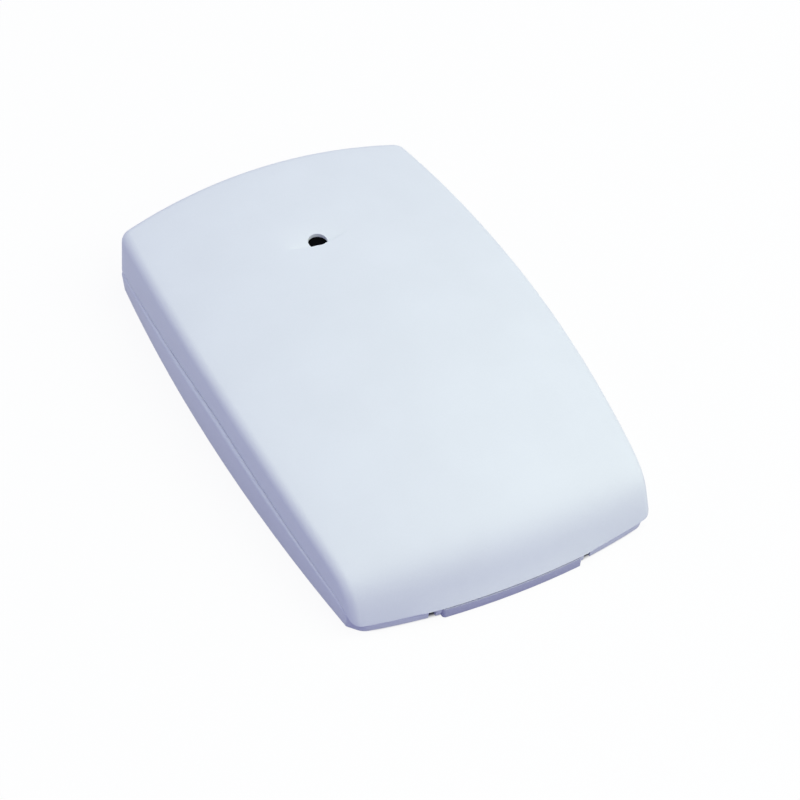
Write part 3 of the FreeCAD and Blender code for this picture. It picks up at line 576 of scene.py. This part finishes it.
class StageSettings(bpy.types.PropertyGroup):
    floor_size: FloatProperty(
        name="Floor size", description="Width of the floor", default=3.0, unit="LENGTH")
    turn: FloatProperty(
        name="Camera turn",
        description="Camera's direction round the sensor, from straight below its latch end",
        default=math.radians(-30.294), subtype="ANGLE")
    height: FloatProperty(
        name="Camera height", description="Camera's angle above the floor",
        default=math.radians(46.264), subtype="ANGLE")
    roll: FloatProperty(
        name="Camera roll", description="Camera's tilt",
        default=math.radians(3.413), subtype="ANGLE")
    distance: FloatProperty(
        name="Camera distance", description="From the camera to the sensor",
        default=0.562075, unit="LENGTH")
    lens: FloatProperty(
        name="Lens", description="Focal length in millimetres", default=144.22)
    shift_right: FloatProperty(
        name="Move right", description="How far the camera stands to the right",
        default=0.003995, unit="LENGTH")
    shift_up: FloatProperty(
        name="Move up", description="How far the camera stands up",
        default=-0.00002, unit="LENGTH")
    key_power: FloatProperty(
        name="Key light", description="Power of the soft light high on the right",
        default=10.1)
    fill: FloatProperty(
        name="Fill light", description="Strength of the light from all sides", default=0.285)
    left_power: FloatProperty(
        name="Left light", description="Power of the low soft light on the left",
        default=1.75)
    right_power: FloatProperty(
        name="Right light", description="Power of the low soft light on the right",
        default=0.9)


class SENSOR_OT_cover(bpy.types.Operator):
    """Make the front cover and the felt behind its sound inlet"""
    bl_idname = "sensor.cover"
    bl_label = "Front cover"

    def execute(self, context):
        case = context.scene.sensor_case
        plastic = moulded("cover_plastic", tuple(case.cover_colour), case.roughness, case.grain)
        finished_copy("front_cover", "cover_shell", plastic, flare_cover_foot)
        # Black felt, painted darker still as shade for the dark inside of the sound inlet
        dress("dust_felt", felted("dust_felt_black", (0.003, 0.003, 0.004)))
        return {"FINISHED"}


class SENSOR_OT_base(bpy.types.Operator):
    """Make the rear housing with its latch tongue"""
    bl_idname = "sensor.base"
    bl_label = "Rear housing"

    def execute(self, context):
        case = context.scene.sensor_case
        plastic = moulded(
            "base_plastic", tuple(case.base_colour), case.roughness, case.grain, grip_and_shade=True)
        finished_copy("rear_housing", "base_tray", plastic, round_latch_panel)
        return {"FINISHED"}


class SENSOR_OT_board(bpy.types.Operator):
    """Finish the circuit board and everything on it"""
    bl_idname = "sensor.board"
    bl_label = "Circuit board"

    def execute(self, context):
        sliders = ["dip_slider_%d" % number for number in range(1, 5)]
        finishes = (
            (["tamper_body", "capacitor_base", "header_base", "jumper_cap"],
             moulded("switch_black", (0.03, 0.03, 0.033),
                     roughness=0.5, grain=0.25, relief=0.01, tint=0.7)),
            (["tamper_plunger", *sliders],
             moulded("slider_white", (0.75, 0.75, 0.72), roughness=0.4, grain=0.2, relief=0.004)),
            (["processor", "amplifiers"],
             moulded("epoxy_black", (0.022, 0.022, 0.024),
                     roughness=0.6, grain=0.12, relief=0.012, tint=0.6)),
            (["terminal_pins", "processor_leads", "amplifier_leads", "varistor_leads",
              "header_pins"],
             pressed_metal("tinned_copper", TIN, roughness=0.32)),
            (["board_screws", "terminal_screws"],
             pressed_metal("zinc_steel", (0.58, 0.59, 0.6),
                           roughness=0.33, lines=0.1, along=(0.3, 1.0, 1.0))),
            (["circuit_board"],
             solder_mask("solder_mask_green", (0.018, 0.13, 0.05))),
            (["microphone_boot"],
             moulded("boot_rubber", (0.02, 0.02, 0.022),
                     roughness=0.72, grain=0.3, relief=0.02, tint=0.6, specular=0.3)),
            (["microphone_capsule"],
             pressed_metal("capsule_aluminium", (0.72, 0.73, 0.75), roughness=0.28)),
            (["terminal_block"],
             moulded("terminal_green", (0.035, 0.21, 0.09),
                     roughness=0.45, grain=0.3, relief=0.008, tint=0.85)),
            (["terminal_cages"],
             pressed_metal("cage_nickel", (0.66, 0.6, 0.45), roughness=0.3)),
            (["dip_body"],
             moulded("switch_blue", (0.02, 0.07, 0.3), roughness=0.42, grain=0.25, tint=0.85)),
            (["relay"],
             moulded("relay_cap", (0.68, 0.67, 0.62), roughness=0.3, grain=0.5, relief=0.003)),
            (["capacitor_can"],
             striped_can("capacitor_can_aluminium", (0.78, 0.78, 0.8))),
            (["crystal"],
             pressed_metal("crystal_nickel", (0.66, 0.66, 0.68),
                           roughness=0.22, lines=0.1, along=(0.1, 1.0, 1.0))),
            (["varistor"],
             moulded("varistor_blue", (0.02, 0.09, 0.4),
                     roughness=0.2, grain=0.8, relief=0.01, tint=0.85)),
            (["led_red"],
             tinted_lens("lens_red", (0.6, 0.015, 0.01))),
            (["led_green"],
             tinted_lens("lens_green", (0.02, 0.45, 0.04))),
            (["chip_resistors"],
             tipped_chip("resistor_black", (0.02, 0.02, 0.022), -CHIP_ROW_X)),
            (["chip_capacitors"],
             tipped_chip("ceramic_tan", (0.33, 0.2, 0.1), CHIP_ROW_X)),
        )
        for nodes, material in finishes:
            for node in nodes:
                dress(node, material)
        return {"FINISHED"}


class SENSOR_OT_stage(bpy.types.Operator):
    """Set the floor, the lights and the camera"""
    bl_idname = "sensor.stage"
    bl_label = "Stage"

    def execute(self, context):
        scene = context.scene
        stage = scene.sensor_stage
        add_floor(scene, stage.floor_size)
        add_world(scene, stage.fill)
        for name, power, place, width, colour in SOFTBOXES:
            add_softbox(scene, name, getattr(stage, power), place, width, colour)
        add_camera(scene, stage)
        scene.view_settings.view_transform = "Standard"
        return {"FINISHED"}


class SENSOR_PT_panel(bpy.types.Panel):
    bl_label = "Glass break sensor"
    bl_idname = "SENSOR_PT_panel"
    bl_space_type = "VIEW_3D"
    bl_region_type = "UI"
    bl_category = "Sensor"

    def draw(self, context):
        for group in (context.scene.sensor_case, context.scene.sensor_stage):
            for name in group.bl_rna.properties.keys():
                if name not in ("rna_type", "name"):
                    self.layout.prop(group, name)
        for step in STEPS:
            self.layout.operator(step.bl_idname)


GROUPS = {"sensor_case": CaseSettings, "sensor_stage": StageSettings}
STEPS = (SENSOR_OT_cover, SENSOR_OT_base, SENSOR_OT_board, SENSOR_OT_stage)
CLASSES = (*GROUPS.values(), *STEPS, SENSOR_PT_panel)


def register():
    for made in CLASSES:
        bpy.utils.register_class(made)
    for name, group in GROUPS.items():
        setattr(bpy.types.Scene, name, PointerProperty(type=group))


def unregister():
    for name in GROUPS:
        delattr(bpy.types.Scene, name)
    for made in reversed(CLASSES):
        bpy.utils.unregister_class(made)


def main():
    register()
    bpy.ops.sensor.cover()
    bpy.ops.sensor.base()
    bpy.ops.sensor.board()
    bpy.ops.sensor.stage()


if __name__ == "__main__":
    main()
